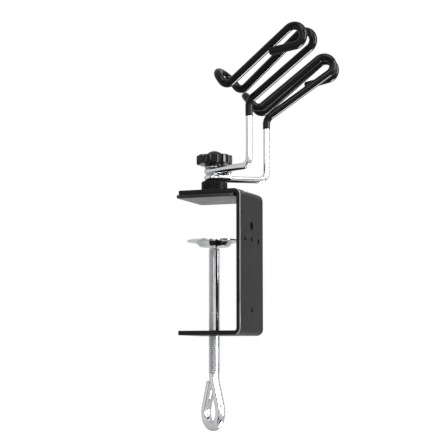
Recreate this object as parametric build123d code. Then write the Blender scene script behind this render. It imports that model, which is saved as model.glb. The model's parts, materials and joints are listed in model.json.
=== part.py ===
from build123d import *
import os
from math import cos, radians, sin, tan

# Clamp-on holder for two airbrushes. A bent steel C clamps to the edge of a bench, and two
# bent-wire cradles swivel on a post above it.
#
# Frame, millimetres: the origin is the centre of the upper clamping face, on the common axis
# of the post and the clamp screw. +Z is up, +X points from the open jaw to the bracket's web,
# and +Y runs along the web from the upper arm's side to the lower arm's side.

# Bracket
BRACKET_HEIGHT = 98.0
BRACKET_WIDTH = 45.0
BRACKET_DEPTH = 45.0
SHEET = 3.0
BEND_OUTER = 4.5
AXIS_TO_WEB = 27.5
CORNER_RADIUS = 1.0

# Jaw pad under the top flange
JAW_PAD_THICKNESS = 2.3
JAW_PAD_OVERHANG = 1.6
JAW_PAD_CORNER = 1.5

# Holes in the web
WEB_HOLE_RADIUS = 1.75
WEB_ROW_PITCH = 13.0
WEB_ROW_LEVEL = -28.0
WEB_LOWER_LEVEL = -76.0
WEB_UPPER_LEVEL = -18.5
WEB_UPPER_RADIUS = 3.0

# Post: boss and M5 countersunk screw
BOSS_RADIUS = 9.0
BOSS_HEIGHT = 8.2
BOSS_SHOULDER = 1.6
STUD_RADIUS = 2.5
STUD_FIT = 0.05
STUD_HEAD_RADIUS = 4.8
STUD_TOP = 30.2

# Arms: one spring-steel wire each, with a dipped sleeve over its cradle
WIRE_RADIUS = 2.25
SLEEVE_RADIUS = 2.75
SLEEVE_END = 1.25
HOOK_RADIUS = 4.85
HOOK_TAIL = 10.6
STACK_GAP = 0.05
ARM_REACH = 38.35
UPRIGHT_HEIGHT = 43.75
ELBOW_RADIUS = 6.0
NECK_RADIUS = 7.5
UPPER_SLEEVE_DROP = 10.5
LOWER_SLEEVE_DROP = 7.4
UPPER_ARM_HEADING = -23.9
LOWER_ARM_HEADING = 33.6
UPPER_OUTER_SLOPE = 37.15
LOWER_OUTER_SLOPE = 40.8
UPPER_CRADLE_TURN = 18.1
LOWER_CRADLE_TURN = 20.5

# Cradle, seen from the side as two slopes and from above as two parallel rails
BASE_SLOPE = 35.15
REST_SLOPE = 39.15
BASE_RAIL = 61.3
REST_RAIL = 61.85
RAIL_PITCH = 21.1
LOOP_WIDTH = 13.25
STOP_HEIGHT = 15.75
STOP_CORNER = 5.0
OUTER_RAIL = 56.2
EYE_RADIUS = 6.7
EYE_TURN = 208.0
EYE_STEPS = 3
EYE_LAST_BEND = 0.95
RETURN_RAIL = 16.2
RETURN_ASIDE = 2.9

# Knob
KNOB_RADIUS = 12.4
KNOB_LOBES = 8
KNOB_PHASE = -6.0
FLUTE_RADIUS = 2.6
FLUTE_CENTRE = 12.9
KNOB_HUB_RADIUS = 6.8
KNOB_HUB_HEIGHT = 1.6
KNOB_GRIP_HEIGHT = 6.4
KNOB_EDGE = 0.8
KNOB_FLOOR = 2.6
CAP_RADIUS = 6.2
CAP_RISE = 3.2
CAP_PLUG_RADIUS = 5.2
CAP_PLUG_DEPTH = 1.0
NUT_FLATS = 8.0
NUT_HEIGHT = 4.0
WASHER_RADIUS = 6.8
WASHER_THICKNESS = 0.8

# Clamp screw, M8
SCREW_RADIUS = 3.95
SCREW_FIT = 0.05
ROD_RADIUS = 3.45
THREAD_END = -119.0
SCREW_NECK_RADIUS = 2.4
RIVET_RADIUS = 3.4
RIVET_RISE = 1.0
HANDLE_START = -122.5
HANDLE_BOTTOM = -157.5
HANDLE_OUT = 13.3
HANDLE_BACK = 15.2
HANDLE_NECK_BEND = 12.0
HANDLE_BEND = 10.0
HANDLE_END = (-6.8, 1.6, -124.0)
HANDLE_HEADING = -38.0

# Swivel pad on the screw's tip
PAD_FACE = -27.5
PAD_RADIUS = 18.8
PAD_SHEET = 1.0
PAD_DEPTH = 4.5
PAD_CROWN_TOP = 13.2
PAD_CROWN_BOTTOM = 10.0
PAD_HOLE_RADIUS = 3.0
PAD_PLAY = 0.6
RETAINER_RADIUS = 5.0
RETAINER_THICKNESS = 1.0
RETAINER_FIT = 0.08

# Small chamfer on thread ends, and how far a cut runs past the metal
THREAD_CHAMFER = 0.6
OVERRUN = 1.0

# Levels that follow from the sizes above
FLANGE_UNDERSIDE = JAW_PAD_THICKNESS
FLANGE_TOP = FLANGE_UNDERSIDE + SHEET
BRACKET_BOTTOM = FLANGE_TOP - BRACKET_HEIGHT
BOSS_TOP = FLANGE_TOP + BOSS_HEIGHT
LOWER_WIRE_LEVEL = BOSS_TOP + STACK_GAP + WIRE_RADIUS
UPPER_WIRE_LEVEL = LOWER_WIRE_LEVEL + STACK_GAP + 2 * WIRE_RADIUS
WASHER_BOTTOM = UPPER_WIRE_LEVEL + STACK_GAP + WIRE_RADIUS
KNOB_BOTTOM = WASHER_BOTTOM + WASHER_THICKNESS
JAW_END = AXIS_TO_WEB - BRACKET_DEPTH
PAD_PLATE_TOP = PAD_FACE - PAD_DEPTH + PAD_SHEET
RETAINER_BOTTOM = PAD_PLATE_TOP + PAD_PLAY
SCREW_SHOULDER = PAD_FACE - PAD_DEPTH - PAD_PLAY


def upright_cylinder(radius, bottom, top):
    """Cylinder on the post axis between two levels."""
    return Pos(0, 0, (bottom + top) / 2) * Cylinder(radius, top - bottom)


def bored(body, radius, bottom, top):
    """Body with a hole on the post axis that runs out past two levels."""
    return body - upright_cylinder(radius, bottom - OVERRUN, top + OVERRUN)


def revolved(points):
    """Solid of revolution about the post axis from an outline in radius and level."""
    return revolve(Plane.XZ * make_face(Polyline(*points, close=True)), Axis.Z)


def rounded_path(points, radii):
    """Straight runs between points, with each inner corner rounded to its bend radius."""
    corners = [Vector(*point) for point in points]
    runs = []
    start = corners[0]
    for before, corner, after, radius in zip(corners, corners[1:], corners[2:], radii):
        back = (before - corner).normalized()
        ahead = (after - corner).normalized()
        half_angle = radians(back.get_angle(ahead) / 2)
        reach = radius / tan(half_angle)
        inward = (back + ahead).normalized() * (radius / sin(half_angle) - radius)
        bend_start = corner + back * reach
        bend_end = corner + ahead * reach
        if (bend_start - start).length > 0.001:
            runs.append(Line(start, bend_start))
        runs.append(ThreePointArc(bend_start, corner + inward, bend_end))
        start = bend_end
    runs.append(Line(start, corners[-1]))
    return Wire(runs)


def arc_corners(start, ahead, inward, radius, angle, steps):
    """Corners round an arc for rounded_path, with the arc's end and its direction there."""
    step = radians(angle / steps)
    centre = start + inward * radius
    corners = []
    for index in range(steps):
        middle = step * (index + 0.5)
        spoke = ahead * sin(middle) - inward * cos(middle)
        corners.append(centre + spoke * (radius / cos(step / 2)))
    whole = radians(angle)
    end = centre + (ahead * sin(whole) - inward * cos(whole)) * radius
    return corners, end, ahead * cos(whole) + inward * sin(whole)


def swept_rod(path, radius, bore=0.0):
    """Round rod, or tube if it has a bore, along a path."""
    section = Circle(radius)
    if bore > 0:
        section = section - Circle(bore)
    return sweep(Plane(origin=path @ 0, z_dir=path % 0) * section, path=path)


def clamp_bracket():
    """Steel sheet bent to a C, with the holes of the post, the screw and the web."""
    outline = Pos((JAW_END + AXIS_TO_WEB) / 2, FLANGE_TOP - BRACKET_HEIGHT / 2) * Rectangle(
        BRACKET_DEPTH, BRACKET_HEIGHT
    )
    outline = fillet(outline.vertices().sort_by(Axis.X)[-2:], BEND_OUTER)
    gap_depth = BRACKET_DEPTH - SHEET
    gap = Pos(JAW_END + gap_depth / 2, FLANGE_TOP - BRACKET_HEIGHT / 2) * Rectangle(
        gap_depth, BRACKET_HEIGHT - 2 * SHEET
    )
    gap = fillet(gap.vertices().sort_by(Axis.X)[-2:], BEND_OUTER - SHEET)
    body = extrude(Plane.XZ * (outline - gap), BRACKET_WIDTH / 2, both=True)
    body = fillet(body.edges().filter_by(Axis.Z).sort_by(Axis.X)[:4], CORNER_RADIUS)
    body = bored(body, STUD_RADIUS + STUD_FIT, FLANGE_UNDERSIDE, FLANGE_TOP)
    body -= countersink(STUD_FIT)
    body = bored(body, SCREW_RADIUS + SCREW_FIT, BRACKET_BOTTOM, BRACKET_BOTTOM + SHEET)
    for across, level, radius in web_holes():
        drill = Rot(0, 90, 0) * Cylinder(radius, 4 * SHEET)
        body -= Pos(AXIS_TO_WEB, across, level) * drill
    return body


def countersink(allowance):
    """Cone of the post screw's flat head, widened by an allowance."""
    rise = STUD_HEAD_RADIUS - STUD_RADIUS
    cone = Cone(STUD_HEAD_RADIUS + allowance, STUD_RADIUS + allowance, rise)
    return Pos(0, 0, FLANGE_UNDERSIDE + rise / 2) * cone


def web_holes():
    """Place across the web, level and radius of each hole."""
    row = [(step * WEB_ROW_PITCH, WEB_ROW_LEVEL, WEB_HOLE_RADIUS) for step in (-1, 0, 1)]
    upper = (0, WEB_UPPER_LEVEL, WEB_UPPER_RADIUS)
    lower = (0, WEB_LOWER_LEVEL, WEB_HOLE_RADIUS)
    return row + [upper, lower]


def jaw_pad():
    """Smooth rubber sheet glued under the top flange; it hides the post screw's head."""
    left = JAW_END - JAW_PAD_OVERHANG
    right = AXIS_TO_WEB - BEND_OUTER
    sheet = Pos((left + right) / 2, 0, JAW_PAD_THICKNESS / 2) * Box(
        right - left, BRACKET_WIDTH, JAW_PAD_THICKNESS
    )
    return fillet(sheet.edges().filter_by(Axis.Z), JAW_PAD_CORNER)


def post_boss():
    """Turned boss on the top flange, with a rounded shoulder under the arms."""
    body = upright_cylinder(BOSS_RADIUS, FLANGE_TOP, BOSS_TOP)
    body = fillet(body.edges().filter_by(GeomType.CIRCLE).sort_by(Axis.Z)[-1], BOSS_SHOULDER)
    return bored(body, STUD_RADIUS + STUD_FIT, FLANGE_TOP, BOSS_TOP)


def post_stud():
    """M5 countersunk screw, head flush in the flange, thread up into the knob's nut."""
    shank = upright_cylinder(STUD_RADIUS, FLANGE_UNDERSIDE, STUD_TOP)
    rim = shank.edges().filter_by(GeomType.CIRCLE).sort_by(Axis.Z)[-1]
    shank = chamfer(rim, THREAD_CHAMFER)
    return shank + countersink(0)


def cradle_points(side, level, turn_back, outer_slope):
    """Corners of one cradle and their bend radii, from the upright's top to the blunt end.

    The arm points along +X. side is the sign of Y on which the arm leaves the post. The two
    arms are mirror images but for the cradle's turn from its arm, back over the post's side,
    and the outer rail's slope. The base rail climbs from the
    upright and loops back over itself into the inner rest rail. A stop bends up at its foot and
    crosses to the outer rest rail, which loops down and comes back to touch its own underside.
    """
    turn = radians(turn_back)
    along = Vector(cos(turn), -side * sin(turn), 0)
    across = Vector(sin(turn), side * cos(turn), 0)
    base = climbing(along, BASE_SLOPE)
    rest = climbing(along, REST_SLOPE)
    lift = climbing(along, REST_SLOPE + 90)
    outer = climbing(along, outer_slope)
    drop = climbing(along, outer_slope - 90)
    neck = Vector(ARM_REACH, side * HOOK_RADIUS, level + UPRIGHT_HEIGHT)
    base_top = neck + base * BASE_RAIL
    inner_top = base_top + lift * LOOP_WIDTH
    inner_foot = inner_top - rest * REST_RAIL
    inner_stop = inner_foot + lift * STOP_HEIGHT
    outer_stop = inner_stop + across * RAIL_PITCH
    outer_foot = inner_foot + across * RAIL_PITCH
    eye_start = outer_foot + outer * OUTER_RAIL
    eye, eye_end, way_back = arc_corners(eye_start, outer, drop, EYE_RADIUS, EYE_TURN, EYE_STEPS)
    blunt_end = eye_end + way_back * RETURN_RAIL + across * RETURN_ASIDE
    points = [
        neck,
        base_top,
        inner_top,
        inner_foot,
        inner_stop,
        outer_stop,
        outer_foot,
    ]
    points += eye + [blunt_end]
    loop = LOOP_WIDTH / 2
    stop = RAIL_PITCH / 2
    radii = [NECK_RADIUS, loop, loop, STOP_CORNER, stop, stop, STOP_CORNER]
    radii += [EYE_RADIUS] * (EYE_STEPS - 1) + [EYE_RADIUS * EYE_LAST_BEND]
    return points, radii


def climbing(level_direction, slope):
    """Direction that climbs from a level one by an angle in degrees."""
    return level_direction * cos(radians(slope)) + Vector(0, 0, sin(radians(slope)))


def hook_points(side, level):
    """Corners of the open hook round the post, from its tail to the foot of the upright."""
    return [
        (HOOK_TAIL, -side * HOOK_RADIUS, level),
        (-HOOK_RADIUS, -side * HOOK_RADIUS, level),
        (-HOOK_RADIUS, side * HOOK_RADIUS, level),
        (ARM_REACH, side * HOOK_RADIUS, level),
    ]


def arm_wire(side, level, heading, turn_back, outer_slope):
    """Whole wire of one arm: hook, arm, upright and the core of the cradle."""
    cradle, cradle_radii = cradle_points(side, level, turn_back, outer_slope)
    points = hook_points(side, level) + [tuple(point) for point in cradle]
    radii = [HOOK_RADIUS, HOOK_RADIUS, ELBOW_RADIUS] + cradle_radii
    return Rot(0, 0, heading) * swept_rod(rounded_path(points, radii), WIRE_RADIUS)


def arm_sleeve(side, level, heading, turn_back, outer_slope, drop):
    """Soft coating dipped over the cradle, from a drop below its foot to the blunt end."""
    cradle, radii = cradle_points(side, level, turn_back, outer_slope)
    points = [cradle[0] - Vector(0, 0, drop)] + cradle
    path = rounded_path([tuple(point) for point in points], radii)
    tube = swept_rod(path, SLEEVE_RADIUS, WIRE_RADIUS)
    cap = Plane(origin=path @ 1, z_dir=path % 1) * Pos(0, 0, SLEEVE_END / 2)
    tube += cap * Cylinder(SLEEVE_RADIUS, SLEEVE_END)
    return Rot(0, 0, heading) * tube


def knob_washer():
    """Plain washer between the knob's hub and the upper wire."""
    top = WASHER_BOTTOM + WASHER_THICKNESS
    disc = upright_cylinder(WASHER_RADIUS, WASHER_BOTTOM, top)
    return bored(disc, STUD_RADIUS + STUD_FIT, WASHER_BOTTOM, top)


def knob():
    """Moulded lobed knob with a hex pocket for the nut, open at the top for the cap."""
    grip_bottom = KNOB_BOTTOM + KNOB_HUB_HEIGHT
    grip_top = grip_bottom + KNOB_GRIP_HEIGHT
    grip = Circle(KNOB_RADIUS)
    for flute in PolarLocations(FLUTE_CENTRE, KNOB_LOBES, KNOB_PHASE):
        grip -= flute * Circle(FLUTE_RADIUS)
    body = extrude(Pos(0, 0, grip_bottom) * grip, KNOB_GRIP_HEIGHT)
    rims = body.edges().filter_by(Plane.XY)
    body = chamfer(rims, KNOB_EDGE)
    body += upright_cylinder(KNOB_HUB_RADIUS, KNOB_BOTTOM, grip_bottom + KNOB_EDGE)
    pocket_floor = KNOB_BOTTOM + KNOB_FLOOR
    body -= extrude(Pos(0, 0, pocket_floor) * nut_outline(STUD_FIT), NUT_HEIGHT)
    body -= upright_cylinder(CAP_PLUG_RADIUS, pocket_floor + NUT_HEIGHT, grip_top)
    return bored(body, STUD_RADIUS + 2 * STUD_FIT, KNOB_BOTTOM, grip_top)


def nut_outline(allowance):
    """Hexagon of the nut, widened by an allowance."""
    return RegularPolygon(NUT_FLATS / 2 + allowance, 6, major_radius=False)


def knob_nut():
    """M5 hexagon nut that bears down on the pocket's floor."""
    bottom = KNOB_BOTTOM + KNOB_FLOOR
    body = extrude(Pos(0, 0, bottom) * nut_outline(0), NUT_HEIGHT)
    return bored(body, STUD_RADIUS + STUD_FIT, bottom, bottom + NUT_HEIGHT)


def knob_cap():
    """Domed cap that snaps into the knob over the nut."""
    grip_top = KNOB_BOTTOM + KNOB_HUB_HEIGHT + KNOB_GRIP_HEIGHT
    sphere_radius = (CAP_RADIUS**2 + CAP_RISE**2) / (2 * CAP_RISE)
    dome = Pos(0, 0, grip_top + CAP_RISE - sphere_radius) * Sphere(sphere_radius)
    dome &= upright_cylinder(CAP_RADIUS, grip_top, grip_top + 2 * CAP_RISE)
    return dome + upright_cylinder(CAP_PLUG_RADIUS - STUD_FIT, grip_top - CAP_PLUG_DEPTH, grip_top)


def clamp_screw():
    """M8 rod: riveted tip, thread, and a plain end bent into a teardrop handle."""
    head_bottom = RETAINER_BOTTOM + RETAINER_THICKNESS
    root = SCREW_RADIUS - THREAD_CHAMFER
    tip = revolved(
        [
            (0, THREAD_END),
            (root, THREAD_END),
            (SCREW_RADIUS, THREAD_END + THREAD_CHAMFER),
            (SCREW_RADIUS, SCREW_SHOULDER - THREAD_CHAMFER),
            (root, SCREW_SHOULDER),
            (SCREW_NECK_RADIUS, SCREW_SHOULDER),
            (SCREW_NECK_RADIUS, head_bottom),
            (RIVET_RADIUS, head_bottom),
            (RIVET_RADIUS - RIVET_RISE, head_bottom + RIVET_RISE),
            (0, head_bottom + RIVET_RISE),
        ]
    )
    return tip + Rot(0, 0, HANDLE_HEADING) * swept_rod(handle_path(), ROD_RADIUS)


def handle_path():
    """Teardrop in the XZ plane; its free leg leans aside to pass the rod."""
    foot = HANDLE_BOTTOM + ROD_RADIUS
    points = [
        (0, 0, THREAD_END + THREAD_CHAMFER),
        (0, 0, HANDLE_START),
        (HANDLE_OUT, 0, foot),
        (-HANDLE_BACK, 0, foot),
        HANDLE_END,
    ]
    return rounded_path(points, [HANDLE_NECK_BEND, HANDLE_BEND, HANDLE_BEND])


def swivel_pad():
    """Pressed steel dish: flat brim above, tapered crown below, hole for the screw's neck."""
    top = PAD_FACE
    under = PAD_FACE - PAD_SHEET
    floor_top = PAD_PLATE_TOP
    floor_under = PAD_FACE - PAD_DEPTH
    return revolved(
        [
            (PAD_HOLE_RADIUS, floor_under),
            (PAD_CROWN_BOTTOM, floor_under),
            (PAD_CROWN_TOP, under),
            (PAD_RADIUS, under),
            (PAD_RADIUS, top),
            (PAD_CROWN_TOP - PAD_SHEET / 2, top),
            (PAD_CROWN_BOTTOM - PAD_SHEET / 2, floor_top),
            (PAD_HOLE_RADIUS, floor_top),
        ]
    )


def retaining_washer():
    """Loose washer in the dish under the riveted tip."""
    top = RETAINER_BOTTOM + RETAINER_THICKNESS
    disc = upright_cylinder(RETAINER_RADIUS, RETAINER_BOTTOM, top)
    return bored(disc, SCREW_NECK_RADIUS + RETAINER_FIT, RETAINER_BOTTOM, top)


def sub_parts():
    """Every piece by its node name."""
    lower = (1, LOWER_WIRE_LEVEL, LOWER_ARM_HEADING, LOWER_CRADLE_TURN, LOWER_OUTER_SLOPE)
    upper = (-1, UPPER_WIRE_LEVEL, UPPER_ARM_HEADING, UPPER_CRADLE_TURN, UPPER_OUTER_SLOPE)
    return {
        "clamp_bracket": clamp_bracket(),
        "jaw_pad": jaw_pad(),
        "post_boss": post_boss(),
        "post_stud": post_stud(),
        "lower_arm_wire": arm_wire(*lower),
        "lower_arm_sleeve": arm_sleeve(*lower, LOWER_SLEEVE_DROP),
        "upper_arm_wire": arm_wire(*upper),
        "upper_arm_sleeve": arm_sleeve(*upper, UPPER_SLEEVE_DROP),
        "knob_washer": knob_washer(),
        "knob": knob(),
        "knob_nut": knob_nut(),
        "knob_cap": knob_cap(),
        "clamp_screw": clamp_screw(),
        "swivel_pad": swivel_pad(),
        "retaining_washer": retaining_washer(),
    }


os.makedirs("parts", exist_ok=True)
for node, solid in sub_parts().items():
    export_step(solid, f"parts/{node}.step")
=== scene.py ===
import json
from math import cos, pi, radians, sin, tan

import bpy
import numpy as np
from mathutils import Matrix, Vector


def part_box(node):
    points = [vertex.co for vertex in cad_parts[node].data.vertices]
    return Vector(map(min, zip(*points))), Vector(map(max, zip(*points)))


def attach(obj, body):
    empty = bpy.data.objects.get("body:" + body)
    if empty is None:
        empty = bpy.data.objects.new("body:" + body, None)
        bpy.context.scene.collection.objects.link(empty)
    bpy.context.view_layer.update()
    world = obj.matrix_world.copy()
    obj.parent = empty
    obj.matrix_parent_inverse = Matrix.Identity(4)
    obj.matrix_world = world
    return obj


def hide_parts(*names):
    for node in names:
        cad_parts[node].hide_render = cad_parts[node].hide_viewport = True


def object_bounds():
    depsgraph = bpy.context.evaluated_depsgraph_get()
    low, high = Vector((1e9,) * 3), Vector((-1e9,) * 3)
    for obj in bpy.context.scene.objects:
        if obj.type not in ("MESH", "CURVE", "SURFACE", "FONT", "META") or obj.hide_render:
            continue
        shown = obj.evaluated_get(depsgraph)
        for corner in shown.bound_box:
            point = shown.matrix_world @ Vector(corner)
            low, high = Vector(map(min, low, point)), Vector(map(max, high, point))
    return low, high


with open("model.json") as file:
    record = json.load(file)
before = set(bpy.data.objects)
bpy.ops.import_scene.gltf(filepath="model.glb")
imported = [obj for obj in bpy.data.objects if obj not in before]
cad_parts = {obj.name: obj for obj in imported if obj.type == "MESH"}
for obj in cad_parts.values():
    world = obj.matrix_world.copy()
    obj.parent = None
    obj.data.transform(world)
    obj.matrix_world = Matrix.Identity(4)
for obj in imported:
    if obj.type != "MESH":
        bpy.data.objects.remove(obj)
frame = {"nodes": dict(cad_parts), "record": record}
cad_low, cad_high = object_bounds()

MM = 0.001
UP = np.array([0.0, 0.0, 1.0])


# ---------------------------------------------------------------- paths and outlines

def unit(v):
    return v / np.linalg.norm(v)


def rounded_path(points, radii, step=5.0, spacing=1.5):
    """Points along straight runs whose inner corners are rounded to the given radii."""
    corners = [np.array(p, float) for p in points]
    path = [corners[0]]

    def run_to(target):
        start = path[-1]
        length = np.linalg.norm(target - start)
        count = max(1, int(round(length / spacing)))
        if length > 1e-4:
            for i in range(1, count + 1):
                path.append(start + (target - start) * i / count)

    for before, corner, after, radius in zip(corners, corners[1:], corners[2:], radii):
        back = unit(before - corner)
        ahead = unit(after - corner)
        half = np.arccos(np.clip(back @ ahead, -1, 1)) / 2
        reach = radius / tan(half)
        centre = corner + unit(back + ahead) * radius / sin(half)
        first = corner + back * reach
        last = corner + ahead * reach
        run_to(first)
        spoke = (first - centre) / radius
        turn = pi - 2 * half
        count = max(2, int(round(turn / radians(step))))
        for i in range(1, count + 1):
            a = turn * i / count
            path.append(centre + radius * (spoke * cos(a) - back * sin(a)))
        path[-1] = last
    run_to(corners[-1])
    return np.array(path)


def rounded_outline(corners, step=15.0):
    """2D outline of (x, y, fillet radius) corners, with the fillets as short chords."""
    out = []
    count = len(corners)
    for i in range(count):
        x, y, radius = corners[i]
        here = np.array([x, y], float)
        if radius <= 0:
            out.append(here)
            continue
        before = np.array(corners[i - 1][:2], float)
        after = np.array(corners[(i + 1) % count][:2], float)
        back = unit(before - here)
        ahead = unit(after - here)
        half = np.arccos(np.clip(back @ ahead, -1, 1)) / 2
        reach = radius / tan(half)
        centre = here + unit(back + ahead) * radius / sin(half)
        spoke = (here + back * reach - centre) / radius
        turn = pi - 2 * half
        steps = max(2, int(round(turn / radians(step))))
        for k in range(steps + 1):
            a = turn * k / steps
            out.append(centre + radius * (spoke * cos(a) - back * sin(a)))
    return np.array(out)


def arc_corners(start, ahead, inward, radius, angle, steps):
    """Corners whose fillets follow an arc, with the arc's end and the direction there."""
    step = radians(angle / steps)
    centre = start + inward * radius
    corners = []
    for index in range(steps):
        middle = step * (index + 0.5)
        spoke = ahead * sin(middle) - inward * cos(middle)
        corners.append(centre + spoke * (radius / cos(step / 2)))
    whole = radians(angle)
    end = centre + (ahead * sin(whole) - inward * cos(whole)) * radius
    return corners, end, ahead * cos(whole) + inward * sin(whole)


def turned(points, heading):
    """Points turned about Z by a heading in degrees."""
    a = radians(heading)
    matrix = np.array([[cos(a), -sin(a), 0], [sin(a), cos(a), 0], [0, 0, 1]])
    return np.asarray(points) @ matrix.T


# ---------------------------------------------------------------- meshes

class Shell:
    """Vertices in millimetres and faces, gathered into one mesh."""

    def __init__(self):
        self.verts = []
        self.faces = []
        self.flow = []

    def add(self, verts, faces, flow=None):
        base = len(self.verts)
        self.verts += [tuple(v) for v in verts]
        self.faces += [tuple(base + i for i in face) for face in faces]
        self.flow += [tuple(v) for v in (flow if flow is not None else verts)]

    def grid(self, rings, flow=None, cap_start=False, cap_end=False, closed_loop=False):
        """Rings of equal size joined in order, each ring closed on itself."""
        rings = np.asarray(rings, float)
        rows, size = rings.shape[:2]
        faces = []
        spans = rows if closed_loop else rows - 1
        for r in range(spans):
            a = r * size
            b = ((r + 1) % rows) * size
            for k in range(size):
                n = (k + 1) % size
                faces.append((a + k, a + n, b + n, b + k))
        if cap_start:
            faces.append(tuple(reversed(range(size))))
        if cap_end:
            faces.append(tuple((rows - 1) * size + k for k in range(size)))
        flat = rings.reshape(-1, 3)
        self.add(flat, faces, None if flow is None else np.asarray(flow).reshape(-1, 3))

    def build(self, name, sharp=35.0):
        mesh = bpy.data.meshes.new(name)
        mesh.from_pydata([tuple(c * MM for c in v) for v in self.verts], [], self.faces)
        attribute = mesh.attributes.new("flow", "FLOAT_VECTOR", "POINT")
        attribute.data.foreach_set("vector", np.array(self.flow, np.float32).ravel())
        mesh.validate()
        mesh.update()
        finish_normals(mesh, sharp)
        obj = bpy.data.objects.new(name, mesh)
        bpy.context.scene.collection.objects.link(obj)
        return obj


def finish_normals(mesh, sharp):
    mesh.polygons.foreach_set("use_smooth", [True] * len(mesh.polygons))
    mesh.set_sharp_from_angle(angle=radians(sharp))


def frames_along(path):
    """Tangents and two normals that don't twist along a path."""
    tangents = np.gradient(path, axis=0)
    tangents /= np.linalg.norm(tangents, axis=1)[:, None]
    side = np.cross(tangents[0], UP)
    if np.linalg.norm(side) < 0.1:
        side = np.cross(tangents[0], [0.0, 1.0, 0.0])
    side = unit(side)
    sides = []
    for t in tangents:
        side = unit(side - (side @ t) * t)
        sides.append(side)
    sides = np.array(sides)
    return tangents, sides, np.cross(tangents, sides)


def tube_rings(path, radii, segments):
    """Rings of a tube along a path, with the place across and along it as flow."""
    tangents, sides, tops = frames_along(path)
    along = np.concatenate([[0], np.cumsum(np.linalg.norm(np.diff(path, axis=0), axis=1))])
    a = np.linspace(0, 2 * pi, segments, endpoint=False)
    ca, sa = np.cos(a), np.sin(a)
    radii = np.broadcast_to(np.asarray(radii, float), (len(path),))
    offset = sides[:, None] * ca[None, :, None] + tops[:, None] * sa[None, :, None]
    rings = path[:, None] + offset * radii[:, None, None]
    flow = np.zeros_like(rings)
    flow[..., 0] = ca * radii[:, None]
    flow[..., 1] = sa * radii[:, None]
    flow[..., 2] = along[:, None]
    return rings, flow


def add_rod(shell, path, radius, segments=40, chamfer=0.35):
    """Solid rod with both ends eased."""
    path = np.asarray(path, float)
    start_dir = unit(path[0] - path[1])
    end_dir = unit(path[-1] - path[-2])
    inner = path[1:-1]
    head = path[0] - start_dir * chamfer
    tail = path[-1] - end_dir * chamfer
    keep = [p for p in inner if np.linalg.norm(p - path[0]) > chamfer * 1.5
            and np.linalg.norm(p - path[-1]) > chamfer * 1.5]
    body = np.array([path[0], head] + keep + [tail, path[-1]])
    radii = np.full(len(body), float(radius))
    radii[0] = radii[-1] = radius - chamfer * 0.8
    rings, flow = tube_rings(body, radii, segments)
    shell.grid(rings, flow, cap_start=True, cap_end=True)


def lathe_rings(outline, segments):
    a = np.linspace(0, 2 * pi, segments, endpoint=False)
    rings = np.zeros((len(outline), segments, 3))
    for row, (radius, level) in enumerate(outline):
        rings[row, :, 0] = radius * np.cos(a)
        rings[row, :, 1] = radius * np.sin(a)
        rings[row, :, 2] = level
    return rings


def add_lathe(shell, outline, segments=96):
    """Turned solid about Z; the outline is a closed loop of radius and level."""
    rings = lathe_rings(outline, segments)
    shell.grid(rings, rings, closed_loop=True)


def add_disc_stack(shell, outline, segments=96):
    """Turned solid whose outline starts and ends near the axis."""
    rings = lathe_rings(outline, segments)
    shell.grid(rings, rings, cap_start=True, cap_end=True)


def add_thread(shell, crest, root, bottom, top, pitch, segments=64):
    """Right-hand screw thread whose ridges follow the helix exactly."""
    # one ridge: share of the pitch, share of the height
    form = [(0.0, 0.0), (0.10, 0.12), (0.36, 0.93), (0.43, 1.0), (0.52, 1.0), (0.59, 0.93),
            (0.85, 0.12)]
    turns = int((top - bottom) / pitch) + 2
    a = np.linspace(0, 2 * pi, segments, endpoint=False)
    rows = []
    for turn in range(-1, turns):
        for phase, height in form:
            level = bottom + pitch * (turn + phase + a / (2 * pi))
            run_in = np.clip((level - bottom) / (1.2 * pitch), 0, 1)
            run_out = np.clip((top - level) / (1.2 * pitch), 0, 1)
            radius = root + (crest - root) * height * np.minimum(run_in, run_out) ** 0.6
            level = np.clip(level, bottom, top)
            rows.append(np.stack([radius * np.cos(a), radius * np.sin(a), level], 1))
    rings = np.array(rows)
    # the seam joins each ring's last point to the next ring up, one turn of the helix on
    size = segments
    per_turn = len(form)
    count = len(rows)
    faces = []
    for r in range(count - 1):
        for k in range(size - 1):
            here, above = r * size + k, (r + 1) * size + k
            faces.append((here, here + 1, above + 1, above))
        if r + 1 + per_turn < count:
            a0 = r * size + size - 1
            a1 = (r + 1) * size + size - 1
            b0 = (r + per_turn) * size
            b1 = (r + 1 + per_turn) * size
            faces.append((a0, b0, b1, a1))
    flat = rings.reshape(-1, 3)
    shell.add(flat, faces, flat)


# ---------------------------------------------------------------- materials

def make_material(name):
    material = bpy.data.materials.new(name)
    material.use_nodes = True
    tree = material.node_tree
    tree.nodes.clear()
    return material, tree


def node(tree, kind, **settings):
    made = tree.nodes.new(kind)
    for key, value in settings.items():
        setattr(made, key, value)
    return made


def noise(tree, source, scale, detail=3.0, rough=0.5, stretch=None):
    vector = source
    if stretch is not None:
        mapping = node(tree, "ShaderNodeVectorMath", operation="MULTIPLY")
        tree.links.new(source, mapping.inputs[0])
        mapping.inputs[1].default_value = stretch
        vector = mapping.outputs[0]
    made = node(tree, "ShaderNodeTexNoise")
    made.inputs["Scale"].default_value = scale
    made.inputs["Detail"].default_value = detail
    made.inputs["Roughness"].default_value = rough
    tree.links.new(vector, made.inputs["Vector"])
    return made.outputs["Fac"]


def remap(tree, value, low, high, to_low, to_high, smooth=False):
    made = node(tree, "ShaderNodeMapRange", clamp=True)
    if smooth:
        made.interpolation_type = "SMOOTHSTEP"
    tree.links.new(value, made.inputs["Value"])
    made.inputs["From Min"].default_value = low
    made.inputs["From Max"].default_value = high
    made.inputs["To Min"].default_value = to_low
    made.inputs["To Max"].default_value = to_high
    return made.outputs[0]


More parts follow.
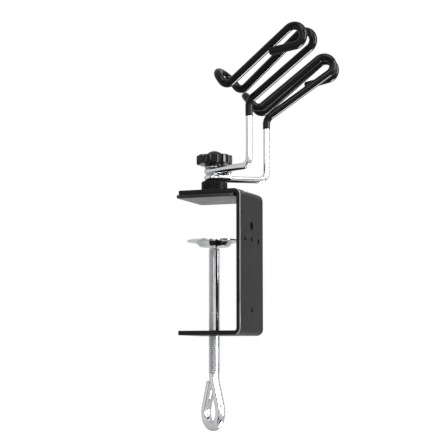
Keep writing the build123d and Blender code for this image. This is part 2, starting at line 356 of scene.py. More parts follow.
def mix_colour(tree, fac, first, second):
    made = node(tree, "ShaderNodeMix", data_type="RGBA")
    tree.links.new(fac, made.inputs[0])
    for index, colour in ((6, first), (7, second)):
        if isinstance(colour, tuple):
            made.inputs[index].default_value = (*colour, 1)
        else:
            tree.links.new(colour, made.inputs[index])
    return made.outputs[2]


def math_node(tree, operation, first, second=0.0):
    made = node(tree, "ShaderNodeMath", operation=operation)
    for index, value in enumerate((first, second)):
        if isinstance(value, (int, float)):
            made.inputs[index].default_value = value
        else:
            tree.links.new(value, made.inputs[index])
    return made.outputs[0]


def finish_material(tree, colour, rough, height, distance, strength, **values):
    """Principled surface from sockets for colour, roughness and bump height."""
    shader = node(tree, "ShaderNodeBsdfPrincipled")
    out = node(tree, "ShaderNodeOutputMaterial")
    for key, value in values.items():
        shader.inputs[key.replace("_", " ")].default_value = value
    tree.links.new(colour, shader.inputs["Base Color"])
    tree.links.new(rough, shader.inputs["Roughness"])
    bump = node(tree, "ShaderNodeBump")
    bump.inputs["Strength"].default_value = strength
    bump.inputs["Distance"].default_value = distance
    tree.links.new(height, bump.inputs["Height"])
    tree.links.new(bump.outputs[0], shader.inputs["Normal"])
    tree.links.new(shader.outputs[0], out.inputs["Surface"])
    return shader


def object_coords(tree):
    return node(tree, "ShaderNodeTexCoord").outputs["Object"]


def flow_coords(tree):
    return node(tree, "ShaderNodeAttribute", attribute_name="flow").outputs["Vector"]


def chrome_material():
    """Bright plate over drawn wire: faint lines along the wire, soft waviness, haze."""
    material, tree = make_material("chrome")
    tone = (0.80, 0.81, 0.83)
    where = object_coords(tree)
    flow = flow_coords(tree)
    lines = noise(tree, flow, 3.0, 3.0, 0.6, stretch=(1.6, 1.6, 0.02))
    waves = noise(tree, where, 140.0, 2.0)
    haze = noise(tree, where, 420.0, 4.0, 0.65)
    specks = remap(tree, noise(tree, where, 2600.0, 2.0), 0.66, 0.74, 0.0, 1.0)
    height = math_node(tree, "ADD", math_node(tree, "MULTIPLY", lines, 0.25), waves)
    rough = remap(tree, haze, 0.3, 0.75, 0.05, 0.11)
    rough = math_node(tree, "ADD", rough, math_node(tree, "MULTIPLY", specks, 0.02))
    darker = tuple(c * 0.88 for c in tone)
    colour = mix_colour(tree, remap(tree, haze, 0.35, 0.7, 0.0, 1.0), tone, darker)
    # painted shade: the clamp screw's thread roots darkened
    colour = mix_colour(tree, painted_thread_root_shade(tree, where), colour, (0.10, 0.10, 0.10))
    finish_material(tree, colour, rough, height, 0.000012, 0.5, Metallic=1.0)
    return material


def painted_thread_root_shade(tree, where):
    """Mask of the clamp screw's thread roots, darkened there as painted shade."""
    parts = node(tree, "ShaderNodeSeparateXYZ")
    tree.links.new(where, parts.inputs[0])
    flat = node(tree, "ShaderNodeCombineXYZ")
    tree.links.new(parts.outputs[0], flat.inputs[0])
    tree.links.new(parts.outputs[1], flat.inputs[1])
    length = node(tree, "ShaderNodeVectorMath", operation="LENGTH")
    tree.links.new(flat.outputs[0], length.inputs[0])
    deep = remap(tree, length.outputs["Value"], 0.00350, 0.00378, 0.55, 0.0, smooth=True)
    below = math_node(tree, "LESS_THAN", parts.outputs[2], -0.034)
    above = math_node(tree, "GREATER_THAN", parts.outputs[2], -0.1185)
    return math_node(tree, "MULTIPLY", deep, math_node(tree, "MULTIPLY", below, above))


def painted_edge_highlight(tree, cloud):
    """Mask of the web's rounded front edge on its -Y side, painted lighter grey as a highlight, varied by
    the cloud noise.
    """
    parts = node(tree, "ShaderNodeSeparateXYZ")
    tree.links.new(node(tree, "ShaderNodeTexCoord").outputs["Normal"], parts.inputs[0])
    side = math_node(tree, "MULTIPLY", parts.outputs[1], -1.0)
    mask = math_node(tree, "MULTIPLY", remap(tree, side, 0.15, 0.4, 0.0, 1.0),
                     remap(tree, side, 0.8, 0.97, 1.0, 0.0))
    mask = math_node(tree, "MULTIPLY", mask, remap(tree, parts.outputs[0], 0.1, 0.35, 0.0, 1.0))
    return math_node(tree, "MULTIPLY", mask, remap(tree, cloud, 0.3, 0.6, 0.6, 1.0))


def powder_material():
    """Black powder coat: fine orange peel, faint cloudiness, front edge painted lighter as a highlight.
    """
    material, tree = make_material("black_powder_coat")
    where = object_coords(tree)
    peel = noise(tree, where, 1500.0, 2.0, 0.4)
    cloud = noise(tree, where, 60.0, 3.0)
    grain = noise(tree, where, 5200.0, 1.0)
    height = math_node(tree, "ADD", peel, math_node(tree, "MULTIPLY", grain, 0.3))
    rough = remap(tree, cloud, 0.3, 0.7, 0.30, 0.37)
    fade = remap(tree, cloud, 0.3, 0.75, 0.0, 1.0)
    colour = mix_colour(tree, fade, (0.0070, 0.0070, 0.0073), (0.0105, 0.0105, 0.0108))
    # painted highlight: lighter grey along the web's front edge
    colour = mix_colour(tree, painted_edge_highlight(tree, cloud), colour, (0.42, 0.42, 0.43))
    finish_material(tree, colour, rough, height, 0.00002, 0.45, Specular_IOR_Level=0.1)
    return material


def dipped_material():
    """Soft dipped PVC: high gloss, slow dip waves, small pits and dust."""
    material, tree = make_material("black_soft_pvc")
    where = object_coords(tree)
    waves = noise(tree, where, 160.0, 2.0, 0.4)
    fine = noise(tree, where, 1100.0, 3.0)
    smear = noise(tree, where, 90.0, 4.0, 0.6, stretch=(1.0, 1.0, 2.2))
    height = math_node(tree, "ADD", waves, math_node(tree, "MULTIPLY", fine, 0.02))
    rough = remap(tree, smear, 0.35, 0.7, 0.06, 0.12)
    colour = mix_colour(tree, remap(tree, fine, 0.35, 0.7, 0, 1),
                        (0.0022, 0.0022, 0.0024), (0.004, 0.004, 0.0043))
    finish_material(tree, colour, rough, height, 0.00006, 0.5, Specular_IOR_Level=0.2)
    return material


def moulded_material(name, rough_low, rough_high, tone=0.003):
    """Black moulded plastic with a faint spark-eroded grain."""
    material, tree = make_material(name)
    where = object_coords(tree)
    grain = noise(tree, where, 3800.0, 2.0, 0.6)
    cloud = noise(tree, where, 240.0, 3.0)
    height = math_node(tree, "ADD", grain, math_node(tree, "MULTIPLY", cloud, 0.6))
    rough = remap(tree, cloud, 0.3, 0.72, rough_low, rough_high)
    first = (tone, tone, tone * 1.06)
    second = tuple(c * 1.6 for c in first)
    colour = mix_colour(tree, remap(tree, grain, 0.35, 0.7, 0, 1), first, second)
    finish_material(tree, colour, rough, height, 0.000012, 0.5, Specular_IOR_Level=0.25)
    return material


def rubber_material():
    """Smooth black rubber sheet with calender marks and fine dust."""
    material, tree = make_material("black_rubber")
    where = object_coords(tree)
    marks = noise(tree, where, 900.0, 2.0, 0.5, stretch=(0.06, 1.0, 1.0))
    dust = noise(tree, where, 2400.0, 3.0, 0.6)
    cloud = noise(tree, where, 70.0, 3.0)
    height = math_node(tree, "ADD", marks, math_node(tree, "MULTIPLY", dust, 0.3))
    rough = remap(tree, cloud, 0.3, 0.7, 0.20, 0.30)
    colour = mix_colour(tree, remap(tree, dust, 0.4, 0.72, 0, 1),
                        (0.008, 0.008, 0.008), (0.02, 0.02, 0.02))
    finish_material(tree, colour, rough, height, 0.00001, 0.5, Specular_IOR_Level=0.5)
    return material


def satin_black_material():
    """Black-oxided turned steel: faint turning rings round Z."""
    material, tree = make_material("black_satin")
    where = object_coords(tree)
    rings = noise(tree, where, 1400.0, 2.0, 0.5, stretch=(0.03, 0.03, 1.0))
    cloud = noise(tree, where, 160.0, 3.0)
    height = math_node(tree, "ADD", rings, math_node(tree, "MULTIPLY", cloud, 0.4))
    rough = remap(tree, cloud, 0.3, 0.7, 0.34, 0.46)
    colour = mix_colour(tree, remap(tree, rings, 0.3, 0.7, 0, 1),
                        (0.006, 0.006, 0.006), (0.010, 0.010, 0.0105))
    finish_material(tree, colour, rough, height, 0.00001, 0.4, Specular_IOR_Level=0.05)
    return material


def zinc_material():
    """Bright zinc plate with a cloudy crystalline tone."""
    material, tree = make_material("zinc_steel")
    where = object_coords(tree)
    cloud = noise(tree, where, 700.0, 4.0, 0.6)
    fine = noise(tree, where, 4200.0, 2.0)
    rough = remap(tree, cloud, 0.3, 0.7, 0.22, 0.38)
    colour = mix_colour(tree, remap(tree, cloud, 0.35, 0.7, 0, 1),
                        (0.62, 0.63, 0.65), (0.47, 0.48, 0.50))
    finish_material(tree, colour, rough, fine, 0.00002, 0.4, Metallic=1.0)
    return material


MATERIALS = {
    "black_powder_coat": powder_material(),
    "black_rubber": rubber_material(),
    "black_satin": satin_black_material(),
    "zinc_steel": zinc_material(),
    "chrome": chrome_material(),
    "black_soft_pvc": dipped_material(),
    "black_knob": moulded_material("black_knob", 0.12, 0.20),
    "black_cap": moulded_material("black_cap", 0.10, 0.18, 0.0025),
}
BODIES = frame["record"]["behaviour"]["bodies"]
BODY_OF = {member: body for body, members in BODIES.items() for member in members}
SLOT_OF = {row["node"]: row["material_slot"] for row in frame["record"]["subparts"]}


def place(obj, cad_node, name=None):
    """Gives a piece the finish and the body of the CAD node it stands for."""
    obj.data.materials.clear()
    obj.data.materials.append(MATERIALS[SLOT_OF[cad_node]])
    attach(obj, BODY_OF[cad_node])
    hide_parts(cad_node)
    return obj


for cad_name, cad_obj in frame["nodes"].items():
    cad_obj.data.materials.clear()
    cad_obj.data.materials.append(MATERIALS[SLOT_OF[cad_name]])


def mm_box(cad_node):
    low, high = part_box(cad_node)
    return np.array(low) / MM, np.array(high) / MM


# ---------------------------------------------------------------- bracket

SHEET = 3.0
BEND_OUTER = 4.5
TIP_CORNER = 1.0
low, high = mm_box("clamp_bracket")
JAW_END, AXIS_TO_WEB = low[0], high[0]
FLANGE_TOP, BRACKET_BOTTOM = high[2], low[2]
HALF_WIDTH = high[1]
POST_HOLE, SINK_RADIUS, SCREW_HOLE = 2.55, 6.85, 4.0
SINK_DEPTH = 2.3
SMALL_HOLE, LARGE_HOLE = 1.75, 3.0
# across the web, level, radius
WEB_HOLES = [(0, -18.5, LARGE_HOLE), (-13, -28, SMALL_HOLE), (0, -28, SMALL_HOLE),
             (13, -28, SMALL_HOLE), (0, -76, SMALL_HOLE)]


def applied(obj):
    """Bakes an object's modifiers into its mesh."""
    graph = bpy.context.evaluated_depsgraph_get()
    mesh = bpy.data.meshes.new_from_object(obj.evaluated_get(graph))
    obj.modifiers.clear()
    obj.data = mesh
    return obj


def sheet_section(half, ease=0.7, steps=4):
    """Outline of the sheet's section, its four long edges eased: (across, depth from outside)."""
    corners = [(-1, 1, 0), (1, 1, 0), (1, -1, SHEET), (-1, -1, SHEET)]
    outline = []
    for index, (side, inward, face) in enumerate(corners):
        for step in range(steps + 1):
            a = radians(90 * step / steps)
            near, far = (cos(a), sin(a)) if index % 2 == 0 else (sin(a), cos(a))
            outline.append((side * (half - ease + ease * near), face + inward * ease * (1 - far)))
    return outline


def bracket_sheet():
    """The bent sheet with rounded tips, before its holes are cut."""
    stations = []
    for step in range(7):
        a = radians(15 * step)
        stations.append((JAW_END + TIP_CORNER * (1 - cos(a)), HALF_WIDTH - TIP_CORNER * (1 - sin(a))))
    top = [((x, FLANGE_TOP), (x, FLANGE_TOP - SHEET), y) for x, y in stations]
    cx = AXIS_TO_WEB - BEND_OUTER
    bends = []
    for cz, start in ((FLANGE_TOP - BEND_OUTER, 90), (BRACKET_BOTTOM + BEND_OUTER, 0)):
        for step in range(11):
            a = radians(start - 9 * step)
            outer = (cx + BEND_OUTER * cos(a), cz + BEND_OUTER * sin(a))
            inner_radius = BEND_OUTER - SHEET
            inner = (cx + inner_radius * cos(a), cz + inner_radius * sin(a))
            bends.append((outer, inner, HALF_WIDTH))
    bottom = [((x, BRACKET_BOTTOM), (x, BRACKET_BOTTOM + SHEET), y) for x, y in reversed(stations)]
    rows = top + bends + bottom
    shell = Shell()
    rings = []
    for outer, inner, y in rows:
        ring = []
        for across, depth in sheet_section(y):
            share = depth / SHEET
            ring.append((outer[0] + (inner[0] - outer[0]) * share, across,
                         outer[1] + (inner[1] - outer[1]) * share))
        rings.append(ring)
    shell.grid(rings, cap_start=True, cap_end=True)
    return shell


def cutter(name, radius, low_end, high_end, axis="Z", centre=(0, 0, 0), top_radius=None):
    """Plug or cone that cuts one hole, along Z or X."""
    shell = Shell()
    other = radius if top_radius is None else top_radius
    rings = lathe_rings([(radius, low_end), (other, high_end)], 48)
    if axis == "X":
        rings = rings[..., [2, 0, 1]]
    rings = rings + np.array(centre, float)
    shell.grid(rings, cap_start=True, cap_end=True)
    return shell.build(name)


def cut_and_ease(obj, cutters, width):
    for tool in cutters:
        change = obj.modifiers.new("cut", "BOOLEAN")
        change.operation = "DIFFERENCE"
        change.solver = "EXACT"
        change.object = tool
    applied(obj)
    for tool in cutters:
        bpy.data.objects.remove(tool)
    bevel = obj.modifiers.new("ease", "BEVEL")
    bevel.width = width * MM
    bevel.segments = 3
    bevel.limit_method = "ANGLE"
    bevel.angle_limit = radians(40)
    bevel.use_clamp_overlap = True
    applied(obj)
    finish_normals(obj.data, 50)
    weighted = obj.modifiers.new("normals", "WEIGHTED_NORMAL")
    weighted.keep_sharp = True
    weighted.weight = 90
    applied(obj)
    return obj


def make_bracket():
    flange_low = FLANGE_TOP - SHEET
    tools = [
        cutter("cut_post", POST_HOLE, FLANGE_TOP - 5, FLANGE_TOP + 2),
        cutter("cut_sink", SINK_RADIUS, flange_low - 2, flange_low + SINK_DEPTH, top_radius=POST_HOLE),
        cutter("cut_screw", SCREW_HOLE, BRACKET_BOTTOM - 2, BRACKET_BOTTOM + 5),
    ]
    for index, (across, level, radius) in enumerate(WEB_HOLES):
        tools.append(cutter(f"cut_web_{index}", radius, AXIS_TO_WEB - 6, AXIS_TO_WEB + 3, "X",
                            (0, across, level)))
    obj = bracket_sheet().build("bracket")
    cut_and_ease(obj, tools, 0.25)
    return place(obj, "clamp_bracket")


make_bracket()


def make_jaw_pad():
    low, high = mm_box("jaw_pad")
    corner = 1.5
    plan = rounded_outline([(low[0], low[1], corner), (high[0], low[1], corner),
                            (high[0], high[1], corner), (low[0], high[1], corner)], 15)
    centre = (low[:2] + high[:2]) / 2
    rings = []
    edge = 0.5
    for inset, level in [(6.0, 0.0), (edge, 0.0)] + [
        (edge * (1 - sin(radians(a))), edge * (1 - cos(radians(a)))) for a in (30, 60, 90)
    ] + [(0.0, high[2] - 0.25), (0.25, high[2]), (6.0, high[2])]:
        scale = 1 - inset / (high[:2] - centre)
        ring = [(*(centre + (p - centre) * scale), level) for p in plan]
        rings.append(ring)
    shell = Shell()
    shell.grid(rings, cap_start=True, cap_end=True)
    return place(shell.build("jaw_pad_rubber", 60), "jaw_pad")


make_jaw_pad()


# ---------------------------------------------------------------- post and knob

def make_boss():
    low, high = mm_box("post_boss")
    radius = high[0]
    outline = rounded_outline([(2.55, low[2], 0), (radius, low[2], 0.25), (radius, high[2], 1.6),
                               (2.55, high[2], 0.3)], 10)
    shell = Shell()
    add_lathe(shell, outline)
    return place(shell.build("boss_turned", 40), "post_boss")


STUD_PITCH = 0.8


def make_stud():
    low, high = mm_box("post_stud")
    shell = Shell()
    head = high[0]
    bottom, top = low[2], high[2]
    outline = [(0.3, bottom + 1.6), (1.5, bottom + 1.5), (1.6, bottom + 0.02), (head - 0.2, bottom),
               (head, bottom + 0.1), (2.5, bottom + head - 2.5), (2.1, bottom + head - 2.2),
               (2.1, top - 0.4), (1.7, top), (0.3, top)]
    add_disc_stack(shell, outline, 48)
    add_thread(shell, 2.5, 2.08, bottom + head - 2.4, top - 0.5, STUD_PITCH, 48)
    return place(shell.build("stud_threaded", 30), "post_stud")


def make_washer(cad_node, name, bore):
    low, high = mm_box(cad_node)
    outline = rounded_outline([(bore, low[2], 0.15), (high[0], low[2], 0.25), (high[0], high[2], 0.25),
                               (bore, high[2], 0.15)], 22)
    shell = Shell()
    add_lathe(shell, outline, 72)
    return place(shell.build(name, 50), cad_node)


make_boss()
make_stud()
make_washer("knob_washer", "washer_under_knob", 2.55)
make_washer("retaining_washer", "washer_in_pad", 2.48)

KNOB_LOBES = 8
KNOB_PHASE = -6.0


def lobed_radius(angle, rim, flute, flute_centre, blend):
    """Radius of the fluted rim at an angle, the flute's edges blended into the lobes."""
    pitch = 2 * pi / KNOB_LOBES
    off = (angle - radians(KNOB_PHASE) + pitch / 2) % pitch - pitch / 2
    reach = flute**2 - (flute_centre * np.sin(off)) ** 2
    inside = reach > 0
    hollow = np.where(inside, flute_centre * np.cos(off) - np.sqrt(np.maximum(reach, 0)), rim + 4.0)
    edge = np.exp(-(rim / blend)) + np.exp(-(hollow / blend))
    return -blend * np.log(edge)


def make_knob():
    low, high = mm_box("knob")
    bottom, top = low[2], high[2]
    rim = 12.4
    hub = 6.8
    grip_bottom = bottom + 1.6
    segments = 400
    a = np.linspace(0, 2 * pi, segments, endpoint=False)
    outline = lobed_radius(a, rim, 2.6, 12.9, 0.34)
    rows = []

    def circle(radius, level):
        rows.append(np.stack([radius * np.cos(a), radius * np.sin(a), np.full(segments, level)], 1))

    def lobed(inset, level):
        r = outline - inset
        rows.append(np.stack([r * np.cos(a), r * np.sin(a), np.full(segments, level)], 1))

    circle(2.6, bottom)
    circle(hub - 0.35, bottom)
    for angle in (30, 60, 90):
        circle(hub - 0.35 * (1 - sin(radians(angle))), bottom + 0.35 * (1 - cos(radians(angle))))
    circle(hub, grip_bottom - 0.4)
    circle(hub + 0.15, grip_bottom - 0.12)
    circle(hub + 0.45, grip_bottom)
    circle(9.0, grip_bottom)
    edge = 0.9
    lobed(edge, grip_bottom)
    for angle in (15, 30, 45, 60, 75, 90):
        lobed(edge * (1 - sin(radians(angle))), grip_bottom + edge * (1 - cos(radians(angle))))
    for angle in (90, 75, 60, 45, 30, 15, 0):
        lobed(edge * (1 - sin(radians(angle))), top - edge * (1 - cos(radians(angle))))
    circle(9.3, top)
    circle(7.4, top - 0.06)
    circle(6.45, top - 0.12)
    circle(6.3, top - 0.5)
    circle(5.3, top - 0.55)
    circle(5.3, top - 1.6)
    circle(2.6, top - 1.6)
    shell = Shell()
    shell.grid(rows, closed_loop=True)
    return place(shell.build("knob_moulded", 50), "knob")


def make_cap():
    low, high = mm_box("knob_cap")
    radius = high[0]
    rise = 3.2
    base = high[2] - rise
    sphere = (radius**2 + rise**2) / (2 * rise)
    outline = [(0.2, low[2]), (5.0, low[2]), (5.1, low[2] + 0.2), (5.1, base - 0.02),
               (radius - 0.1, base), (radius, base + 0.12)]
    start = np.arcsin(radius / sphere) * 0.985
    for step in range(14):
        a = start * (1 - step / 13.3)
        outline.append((sphere * sin(a), base + rise - sphere + sphere * cos(a)))
    shell = Shell()
    add_disc_stack(shell, outline, 96)
    return place(shell.build("cap_domed", 40), "knob_cap")


make_knob()
make_cap()


# ---------------------------------------------------------------- clamp screw and pad

SCREW_PITCH = 1.25
HANDLE_HEADING = -38.0


def make_screw():
    """Threaded rod whose plain lower end is bent to a teardrop handle."""
    low, high = mm_box("clamp_screw")
    shoulder, head_top = -32.6, high[2]
    thread_end = -119.0
    crest, root = 3.95, 3.28
    shell = Shell()
    outline = rounded_outline(
        [(0.2, thread_end + 0.3, 0), (root - 0.1, thread_end + 0.3, 0),
         (root + 0.06, thread_end + 1.2, 0), (root + 0.06, shoulder - 0.9, 0),
         (root - 0.5, shoulder, 0.2), (2.4, shoulder, 0), (2.4, head_top - 1.0, 0),
         (3.4, head_top - 1.0, 0.2), (3.2, head_top - 0.35, 0.5), (2.0, head_top, 0.5),
         (0.2, head_top, 0)], 20)
    add_disc_stack(shell, outline, 64)
    add_thread(shell, crest, root, thread_end + 0.4, shoulder - 0.4, SCREW_PITCH)
    rod = 3.45
    foot = low[2] + rod
    teardrop = [(0, 0, thread_end + 2.0), (0, 0, -122.5), (13.3, 0, foot), (-15.2, 0, foot),
                (-6.8, 1.6, -124.0)]
    path = rounded_path(teardrop, [12.0, 10.0, 10.0], 4.0)
    add_rod(shell, turned(path, HANDLE_HEADING), rod, 56, 0.5)
    return place(shell.build("screw_with_handle", 32), "clamp_screw")


def make_pad():
    low, high = mm_box("swivel_pad")
    top, bottom = high[2], low[2]
    sheet = 1.0
    brim = high[0]
    outline = rounded_outline(
        [(3.0, bottom, 0.15), (10.0, bottom, 1.6), (13.2, top - sheet, 1.2),
         (brim, top - sheet, 0.35), (brim, top, 0.45), (12.7, top, 1.2),
         (9.5, bottom + sheet, 1.0), (3.0, bottom + sheet, 0.15)], 12)
    shell = Shell()
    add_lathe(shell, outline, 128)
    return place(shell.build("pad_pressed", 50), "swivel_pad")


make_screw()
make_pad()


# ---------------------------------------------------------------- arms

WIRE = 2.25
SLEEVE = 2.75
HOOK = 4.85
REACH = 38.35
UPRIGHT = 43.75
BASE_SLOPE, REST_SLOPE = 35.15, 39.15
BASE_RAIL, REST_RAIL, OUTER_RAIL = 61.3, 61.85, 56.2
RAIL_PITCH = 21.1
LOOP_WIDTH = 13.25
STOP_HEIGHT = 15.75
EYE_RADIUS, EYE_TURN, EYE_STEPS = 6.7, 208.0, 3
RETURN_RAIL, RETURN_ASIDE = 16.2, 2.9


def climbing(level_direction, slope):
    return level_direction * cos(radians(slope)) + UP * sin(radians(slope))


def cradle_points(side, level, turn_back, outer_slope):
    """Corners and fillets of the wire from the upright's top to the blunt end in the eye."""
    turn = radians(turn_back)
    along = np.array([cos(turn), -side * sin(turn), 0])
    across = np.array([sin(turn), side * cos(turn), 0])
    base = climbing(along, BASE_SLOPE)
    rest = climbing(along, REST_SLOPE)
    lift = climbing(along, REST_SLOPE + 90)
    outer = climbing(along, outer_slope)
    drop = climbing(along, outer_slope - 90)
    neck = np.array([REACH, side * HOOK, level + UPRIGHT])
    base_top = neck + base * BASE_RAIL
    inner_top = base_top + lift * LOOP_WIDTH
    inner_foot = inner_top - rest * REST_RAIL
    inner_stop = inner_foot + lift * STOP_HEIGHT
    outer_stop = inner_stop + across * RAIL_PITCH
    outer_foot = inner_foot + across * RAIL_PITCH
    eye_start = outer_foot + outer * OUTER_RAIL
    eye, eye_end, way_back = arc_corners(eye_start, outer, drop, EYE_RADIUS, EYE_TURN, EYE_STEPS)
    blunt_end = eye_end + way_back * RETURN_RAIL + across * RETURN_ASIDE
    points = [neck, base_top, inner_top, inner_foot, inner_stop, outer_stop, outer_foot]
    points += eye + [blunt_end]
    loop, stop = LOOP_WIDTH / 2, RAIL_PITCH / 2
    radii = [7.5, loop, loop, 5.0, stop, stop, 5.0, EYE_RADIUS, EYE_RADIUS, EYE_RADIUS * 0.95]
    return points, radii


def arm_path(side, level, heading, turn_back, outer_slope):
    """Centre line of a whole wire: hook round the post, arm, upright, cradle."""
    cradle, cradle_radii = cradle_points(side, level, turn_back, outer_slope)
    hook = [(10.6, -side * HOOK, level), (-HOOK, -side * HOOK, level),
            (-HOOK, side * HOOK, level), (REACH, side * HOOK, level)]
    return turned(rounded_path(hook + cradle, [HOOK, HOOK, 6.0] + cradle_radii), heading)


def make_wire(cad_node, name, path):
    shell = Shell()
    add_rod(shell, path, WIRE, 40, 0.3)
    return place(shell.build(name, 40), cad_node)


def make_sleeve(cad_node, name, side, level, heading, turn_back, outer_slope, drop, seed):
    """Dipped coating: thin feathered start, slow waves in its thickness, rounded closed end."""
    cradle, radii = cradle_points(side, level, turn_back, outer_slope)
    points = [cradle[0] - UP * drop] + cradle
    path = turned(rounded_path(points, radii, 5.0, 1.0), heading)
    end_dir = unit(path[-1] - path[-2])
    along = np.concatenate([[0], np.cumsum(np.linalg.norm(np.diff(path, axis=0), axis=1))])
    total = along[-1]
    wave = 0.018 * np.sin(along / 9.0 + seed) + 0.012 * np.sin(along / 4.1 + 2.3 * seed)
    thickness = SLEEVE - 0.035 + wave
    start = np.clip(along / 14.0, 0, 1)
    thickness = thickness - 0.22 * (1 - start * start * (3 - 2 * start))
    lip = [(0.0, WIRE + 0.02), (0.05, WIRE + 0.14), (0.2, WIRE + 0.24)]
    body_from = int(np.searchsorted(along, 0.5))
    rows = [path[0] + (path[1] - path[0]) / np.linalg.norm(path[1] - path[0]) * s for s, _ in lip]
    sizes = [r for _, r in lip]
    rows += list(path[body_from:])
    sizes += list(thickness[body_from:])
    last = sizes[-1]
    closed = 1.25
    for angle in (15, 30, 45, 60, 72, 82):
        a = radians(angle)
        rows.append(path[-1] + end_dir * closed * sin(a))
        sizes.append(last * (0.35 + 0.65 * cos(a)) if angle < 82 else last * 0.30)
    rings, flow = tube_rings(np.array(rows), sizes, 48)
    shell = Shell()
    shell.grid(rings, flow, cap_end=True)
    return place(shell.build(name, 60), cad_node)


# side, level, heading, turn of the cradle, slope of the outer rail
low, high = mm_box("lower_arm_wire")
LOWER = (1, low[2] + WIRE, 33.6, 20.5, 40.8)
low, high = mm_box("upper_arm_wire")
UPPER = (-1, low[2] + WIRE, -23.9, 18.1, 37.15)
make_wire("lower_arm_wire", "lower_wire_chromed", arm_path(*LOWER))
make_wire("upper_arm_wire", "upper_wire_chromed", arm_path(*UPPER))
make_sleeve("lower_arm_sleeve", "lower_sleeve_dipped", *LOWER, 7.4, 0.7)
make_sleeve("upper_arm_sleeve", "upper_sleeve_dipped", *UPPER, 10.5, 2.1)


# ---------------------------------------------------------------- studio

def show_from_above(tree, shader):
    """Let views from under the floor look through it."""
    out = next(n for n in tree.nodes if n.bl_idname == "ShaderNodeOutputMaterial")
    mix = node(tree, "ShaderNodeMixShader")
    tree.links.new(node(tree, "ShaderNodeNewGeometry").outputs["Backfacing"], mix.inputs[0])
    tree.links.new(shader.outputs[0], mix.inputs[1])
    tree.links.new(node(tree, "ShaderNodeBsdfTransparent").outputs[0], mix.inputs[2])
    tree.links.new(mix.outputs[0], out.inputs["Surface"])


FLOOR_GAP = 60.0


def make_floor():
    """Pale floor, low enough for the clamp screw's whole travel."""
    size, steps = 6000.0, 12
    level = cad_low.z / MM - FLOOR_GAP
    shell = Shell()
    rows = []
    for i in range(steps + 1):
        y = -size + 2 * size * i / steps
        rows.append([(-size, y, level), (size, y, level)])
    verts = [v for row in rows for v in row]
    faces = [(2 * i, 2 * i + 1, 2 * i + 3, 2 * i + 2) for i in range(steps)]
    shell.add(verts, faces)
    floor = shell.build("floor")
    material, tree = make_material("pale_floor")
    where = object_coords(tree)
    tone = noise(tree, where, 30.0, 3.0)
    colour = mix_colour(tree, tone, (0.93, 0.93, 0.93), (0.95, 0.95, 0.95))
    rough = remap(tree, tone, 0, 1, 0.85, 0.95)
    shader = finish_material(tree, colour, rough, tone, 0.0001, 0.1, Specular_IOR_Level=0.0)
    show_from_above(tree, shader)
    floor.data.materials.append(material)
    floor.visible_glossy = False


CAMERA_AT = Vector((0.34326, -0.85432, -0.10916))
CAMERA_LOOK = Vector((-0.36429, 0.92584, 0.10060))
FOCAL_LENGTH = 107.93


def make_camera():
    data = bpy.data.cameras.new("camera")
    data.sensor_width = 36.0
    data.lens = FOCAL_LENGTH
    data.clip_start = 0.01
    data.clip_end = 50.0
    camera = bpy.data.objects.new("camera", data)
    camera.location = CAMERA_AT
    camera.rotation_mode = "QUATERNION"
    camera.rotation_quaternion = CAMERA_LOOK.to_track_quat("-Z", "Y")
    bpy.context.scene.collection.objects.link(camera)
    bpy.context.scene.camera = camera


def dot(tree, direction, vector):
    made = node(tree, "ShaderNodeVectorMath", operation="DOT_PRODUCT")
    tree.links.new(direction, made.inputs[0])
    made.inputs[1].default_value = tuple(vector)
    return made.outputs["Value"]


def panel(tree, direction, azimuth, elevation, half_width, half_height, soft, roll=0.0):
    """Mask of a rectangular light seen in a direction; angles in degrees.

    Azimuth is 0 straight in front of the object on -Y and grows towards +X.
    """
    a, e, r = radians(azimuth), radians(elevation), radians(roll)
    centre = np.array([sin(a) * cos(e), -cos(a) * cos(e), sin(e)])
    across = np.array([cos(a), sin(a), 0.0])
    top = np.cross(across, centre) * -1
    if top[2] < 0:
        top = -top
    side = across * cos(r) + top * sin(r)
    rise = top * cos(r) - across * sin(r)
    depth = math_node(tree, "MAXIMUM", dot(tree, direction, centre), 0.0001)
    masks = []
    for axis, half in ((side, half_width), (rise, half_height)):
        offset = math_node(tree, "ABSOLUTE", math_node(tree, "DIVIDE", dot(tree, direction, axis), depth))
        edge = tan(radians(half))
        masks.append(remap(tree, offset, edge * (1 - soft), edge * (1 + soft), 1.0, 0.0, smooth=True))
    front = math_node(tree, "GREATER_THAN", dot(tree, direction, centre), 0.001)
    return math_node(tree, "MULTIPLY", front, math_node(tree, "MULTIPLY", masks[0], masks[1]))


VIEW_AZIMUTH = 21.5
PANELS = [
    # azimuth from the view, elevation, half width, half height, softness, roll, added brightness
    (18.0, 8.0, 2.5, 16.0, 0.3, 0.0, 14.0),
    (68.0, 12.0, 7.0, 26.0, 0.3, 0.0, 30.0),
    (-26.0, 22.0, 3.0, 14.0, 0.3, 0.0, 12.0),
    (108.0, -57.0, 13.0, 12.0, 0.2, 0.0, 42.0),
]
SHADES = [
    # azimuth from the view, elevation, half width, half height, softness, roll, share of light kept
    (-49.0, 0.0, 6.0, 60.0, 0.35, 0.0, 0.12),
    (25.0, 28.0, 9.0, 24.0, 0.3, 0.0, 0.12),
    (30.0, -60.0, 18.0, 14.0, 0.4, 0.0, 0.03),
    (-30.0, -32.0, 12.0, 10.0, 0.5, 0.0, 0.25),
    (95.0, 0.0, 6.0, 60.0, 0.5, 0.0, 0.5),
]


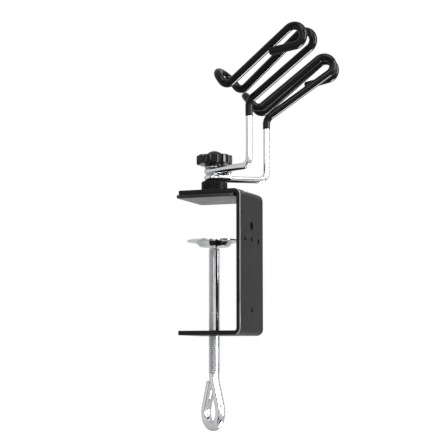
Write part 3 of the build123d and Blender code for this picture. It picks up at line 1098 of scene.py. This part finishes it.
def make_world():
    world = bpy.data.worlds.new("studio")
    bpy.context.scene.world = world
    world.use_nodes = True
    world.cycles.sampling_method = "NONE"
    tree = world.node_tree
    tree.nodes.clear()
    direction = node(tree, "ShaderNodeTexCoord").outputs["Generated"]
    path = node(tree, "ShaderNodeLightPath")
    height = dot(tree, direction, (0, 0, 1))
    base = remap(tree, height, -0.55, -0.15, 0.8, 1.0, smooth=True)
    front = dot(tree, direction, tuple(-CAMERA_LOOK))
    base = math_node(tree, "MULTIPLY", base, remap(tree, front, -0.6, 0.3, 0.74, 1.0, smooth=True))
    for azimuth, elevation, width, tall, soft, roll, keep in SHADES:
        mask = panel(tree, direction, azimuth + VIEW_AZIMUTH, elevation, width, tall, soft, roll)
        base = math_node(tree, "MULTIPLY", base, remap(tree, mask, 0.0, 1.0, 1.0, keep))
    total = base
    for azimuth, elevation, width, tall, soft, roll, bright in PANELS:
        mask = panel(tree, direction, azimuth + VIEW_AZIMUTH, elevation, width, tall, soft, roll)
        total = math_node(tree, "ADD", total, math_node(tree, "MULTIPLY", mask, bright))
    reflected = node(tree, "ShaderNodeBackground")
    tree.links.new(total, reflected.inputs["Strength"])
    plain = node(tree, "ShaderNodeBackground")
    plain.inputs["Color"].default_value = (1, 1, 1, 1)
    plain.inputs["Strength"].default_value = 1.0
    mix = node(tree, "ShaderNodeMixShader")
    tree.links.new(path.outputs["Is Glossy Ray"], mix.inputs[0])
    tree.links.new(plain.outputs[0], mix.inputs[1])
    tree.links.new(reflected.outputs[0], mix.inputs[2])
    out = node(tree, "ShaderNodeOutputWorld")
    tree.links.new(mix.outputs[0], out.inputs["Surface"])


def make_key_light():
    data = bpy.data.lights.new("key", "SUN")
    data.energy = 1.2
    data.angle = radians(40)
    data.specular_factor = 0.0
    light = bpy.data.objects.new("key", data)
    light.rotation_mode = "QUATERNION"
    light.rotation_quaternion = Vector((-0.35, 0.45, -0.82)).to_track_quat("-Z", "Y")
    bpy.context.scene.collection.objects.link(light)


make_floor()
make_camera()
make_world()
make_key_light()
bpy.context.scene.view_settings.view_transform = "Standard"
